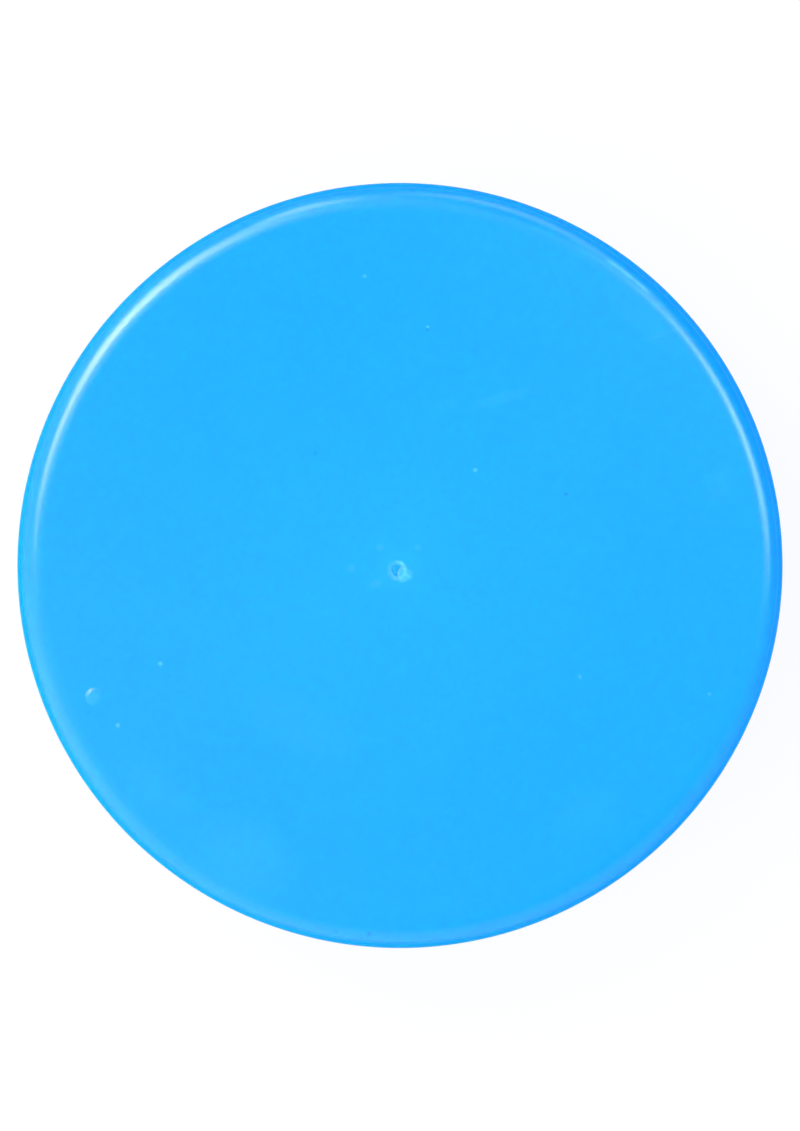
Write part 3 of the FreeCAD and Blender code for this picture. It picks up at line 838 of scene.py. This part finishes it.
def turnedTree():
    # a turned profile, moved to its place
    tree, given = newTree("turnedPiece", {
        "Profile": "Object", "Columns": "Int", "Merge Distance": "Float", "Place": "Vector",
        "Swell": "Float", "Waves": "Int", "Material": "Material"})
    surface = turnedSurface(tree, given["Profile"], given["Columns"])
    swelling = rowNumber(tree, surface, "swelling")
    wave = addNode(tree, "ShaderNodeMath", {
        0: addNode(tree, "ShaderNodeMath", {
            0: addNode(tree, "ShaderNodeMath", {
                0: surface["angle"], 1: given["Waves"]}, operation="MULTIPLY"),
            1: 0.5}, operation="MULTIPLY")}, operation="SINE")
    square = addNode(tree, "ShaderNodeMath", {0: wave, 1: wave}, operation="MULTIPLY")
    depth = addNode(tree, "ShaderNodeMath", {0: square, 1: given["Swell"]}, operation="MULTIPLY")
    drop = addNode(tree, "ShaderNodeMath", {0: depth, 1: swelling}, operation="MULTIPLY")
    height = addNode(tree, "ShaderNodeMath", {0: surface["height"], 1: drop}, operation="SUBTRACT")
    closed = closeSurface(tree, surface, surface["radius"], height, given["Merge Distance"])
    moved = addNode(tree, "GeometryNodeTransform", {
        "Geometry": closed, "Translation": given["Place"]})
    return finishTree(tree, moved, given["Material"])


washer = {"rollOver": 0.4, "burr": 0.12, "steps": 6, "columns": 192, "sharpAngle": 40}


def washerRows():
    # a blanked ring: rolled over at the edges where the punch went in, with a small bevel below
    inner = halfShell["postRadius"] + halfShell["postClearance"]
    outer = washerHigh.x
    roll = washer["rollOver"]
    rows = [(inner + roll, washerHigh.z)]
    rows += arc(outer - roll, washerHigh.z - roll, roll, 90, 0, washer["steps"])
    rows += [(outer, washerLow.z + washer["burr"]), (outer - washer["burr"], washerLow.z)]
    rows += [(inner + washer["burr"], washerLow.z), (inner, washerLow.z + washer["burr"])]
    rows += arc(inner + roll, washerHigh.z - roll, roll, 180, 90, washer["steps"])
    return rows


pad = {"bulge": 0.2, "swell": 0.15, "edge": 0.25, "steps": 8, "columns": 240, "sharpAngle": 50}


def padRows():
    # a punched ring whose edges bulge under load, and whose seat side swells between the ribs
    inner = halfShell["postRadius"] + halfShell["postClearance"]
    outer = padHigh.x
    middle = (padLow.z + padHigh.z) / 2
    reach = (padHigh.z - padLow.z) / 2
    shares = [step / pad["steps"] for step in range(pad["steps"] + 1)]
    rows = [(outer + pad["bulge"] * math.sin(math.pi * share) - pad["edge"] * (share in (0, 1)),
             middle + reach * math.cos(math.pi * share)) for share in shares]
    seat = [(outer + (inner - outer) * share, padLow.z, math.sin(math.pi * share)) for share in shares]
    rows += seat[1:-1]
    rows += [(inner - pad["bulge"] * math.sin(math.pi * share) + pad["edge"] * (share in (0, 1)),
              middle - reach * math.cos(math.pi * share)) for share in shares]
    return rows + rows[:1]


gateBurr = {"x": 0.54, "y": 0.93, "radius": 0.76, "height": 0.075,
            "lumpSize": 0.5, "lumpShare": 0.5, "lumpRange": (0.3, 0.7), "lumpDetail": 3.0,
            "subdivisions": 5, "seed": 3}


def burrTree():
    # a squashed ball with a lumpy skin, where the sprue tore
    tree, given = newTree("gateBurr", {
        "Radius": "Float", "Height": "Float", "Lump Size": "Float", "Lump Share": "Float",
        "Subdivisions": "Int", "Seed": "Int", "Place": "Vector", "Material": "Material"})
    ball = addNode(tree, "GeometryNodeMeshIcoSphere", {
        "Radius": 1.0, "Subdivisions": given["Subdivisions"]})
    position = addNode(tree, "GeometryNodeInputPosition")
    frequency = addNode(tree, "ShaderNodeMath", {
        0: given["Radius"], 1: given["Lump Size"]}, operation="DIVIDE")
    lumps = addNode(tree, "ShaderNodeTexNoise", {
        "Vector": position, "W": given["Seed"], "Scale": frequency,
        "Detail": gateBurr["lumpDetail"]}, noise_dimensions="4D")
    away = addNode(tree, "ShaderNodeMapRange", {
        "Value": lumps, "From Min": gateBurr["lumpRange"][0],
        "From Max": gateBurr["lumpRange"][1], "To Min": -0.5, "To Max": 0.5})
    swell = addNode(tree, "ShaderNodeMath", {
        0: away, 1: given["Lump Share"], 2: 1.0}, operation="MULTIPLY_ADD")
    lumpy = addNode(tree, "ShaderNodeVectorMath", {0: position, "Scale": swell}, operation="SCALE")
    squashed = addNode(tree, "ShaderNodeVectorMath", {
        0: lumpy, 1: addNode(tree, "ShaderNodeCombineXYZ", {
            "X": given["Radius"], "Y": given["Radius"], "Z": given["Height"]})},
        operation="MULTIPLY")
    placed = addNode(tree, "ShaderNodeVectorMath", {0: squashed, 1: given["Place"]}, operation="ADD")
    torn = addNode(tree, "GeometryNodeSetPosition", {"Geometry": ball, "Position": placed})
    return finishTree(tree, torn, given["Material"])


print("moulded halves")
lowerNylon = mouldedNylon("mouldedNylonLower", mouldMarks, False)
ownMarks = [(x, -y, length, width, -turn, share, tone)
            for x, y, length, width, turn, share, tone in faceMarks]
upperNylon = mouldedNylon("mouldedNylonUpper", mouldMarks + ownMarks, True)
roundTree = turnedTree()
shellDetails = bpy.data.collections.new("shellDetails")
mouldedMark = bakeTree("pinMark", roundTree, {
    "Profile": profileObject("pinMarkProfile", pinMarkRows()), "Columns": pinMark["columns"],
    "Merge Distance": mergeDistance, "Place": Vector((pinMark["x"], pinMark["y"], 0)) * mm,
    "Swell": 0.0, "Waves": 0, "Material": lowerNylon})
tornGate = bakeTree("gateBurr", burrTree(), {
    "Radius": gateBurr["radius"] * mm, "Height": gateBurr["height"] * mm,
    "Lump Size": gateBurr["lumpSize"] * mm, "Lump Share": gateBurr["lumpShare"],
    "Subdivisions": gateBurr["subdivisions"], "Seed": gateBurr["seed"],
    "Place": Vector((gateBurr["x"], gateBurr["y"], 0)) * mm, "Material": lowerNylon})
for detail in (*ribSets(lowerNylon), gripDiamonds(lowerNylon), mouldedMark, tornGate):
    bpy.context.scene.collection.objects.unlink(detail)
    shellDetails.objects.link(detail)
lowerShell = bakeTree("lowerShell", halfShellTree(), {
    "Profile": profileObject(
        "shellProfile", halfShellRows(), ("railSide", "railLift", "gateShare")),
    "Columns": halfShell["columns"], "Merge Distance": mergeDistance,
    "Rail Half Width": halfShell["tongueWidth"] / 2 * mm,
    "Rail Height": halfShell["tongueHeight"] * mm, "Clearance": halfShell["seamClearance"] * mm,
    "Gate Shift": Vector((halfShell["gateX"], halfShell["gateY"], 0)) * mm,
    "Details": shellDetails, "Material": lowerNylon})
smoothPiece(lowerShell, halfShell["sharpAngle"])
levelRadius = puckRadius - halfShell["shoulderRadius"] - halfShell["easeWidth"]
flattenFace(lowerShell, 0, (levelRadius + halfShell["levelMargin"]) * mm)
upperShell = turnedOver(lowerShell, "upperShell")
upperShell.data.materials.clear()
upperShell.data.materials.append(upperNylon)
for piece, node in ((lowerShell, "lower_shell"), (upperShell, "upper_shell")):
    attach(piece, "root")
    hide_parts(node)

print("washer and pads")
plainTurn = {"Merge Distance": mergeDistance, "Place": Vector((0, 0, 0)), "Swell": 0.0, "Waves": 0}
ballastWasher = bakeTree("ballastWasher", roundTree, {
    **plainTurn, "Profile": profileObject("washerProfile", washerRows()),
    "Columns": washer["columns"], "Material": zincPlatedSteel()})
smoothPiece(ballastWasher, washer["sharpAngle"])
lowerPad = bakeTree("lowerPad", roundTree, {
    **plainTurn, "Profile": profileObject("padProfile", padRows(), ("swelling",)),
    "Columns": pad["columns"], "Swell": pad["swell"] * mm, "Waves": ribs["seatCount"],
    "Material": sheetRubber()})
smoothPiece(lowerPad, pad["sharpAngle"])
upperPad = turnedOver(lowerPad, "upperPad")
for piece, slot, node in ((ballastWasher, "ballast_steel", "ballast_washer"),
                          (lowerPad, "pad_rubber", "lower_pad"),
                          (upperPad, "pad_rubber", "upper_pad")):
    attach(piece, "root")
    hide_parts(node)

print("lights and floor")
placeCamera()
for name, window in windows.items():
    softWindow(name, window)
paleRoom()
layFloor()
bpy.context.scene.view_settings.view_transform = "Standard"
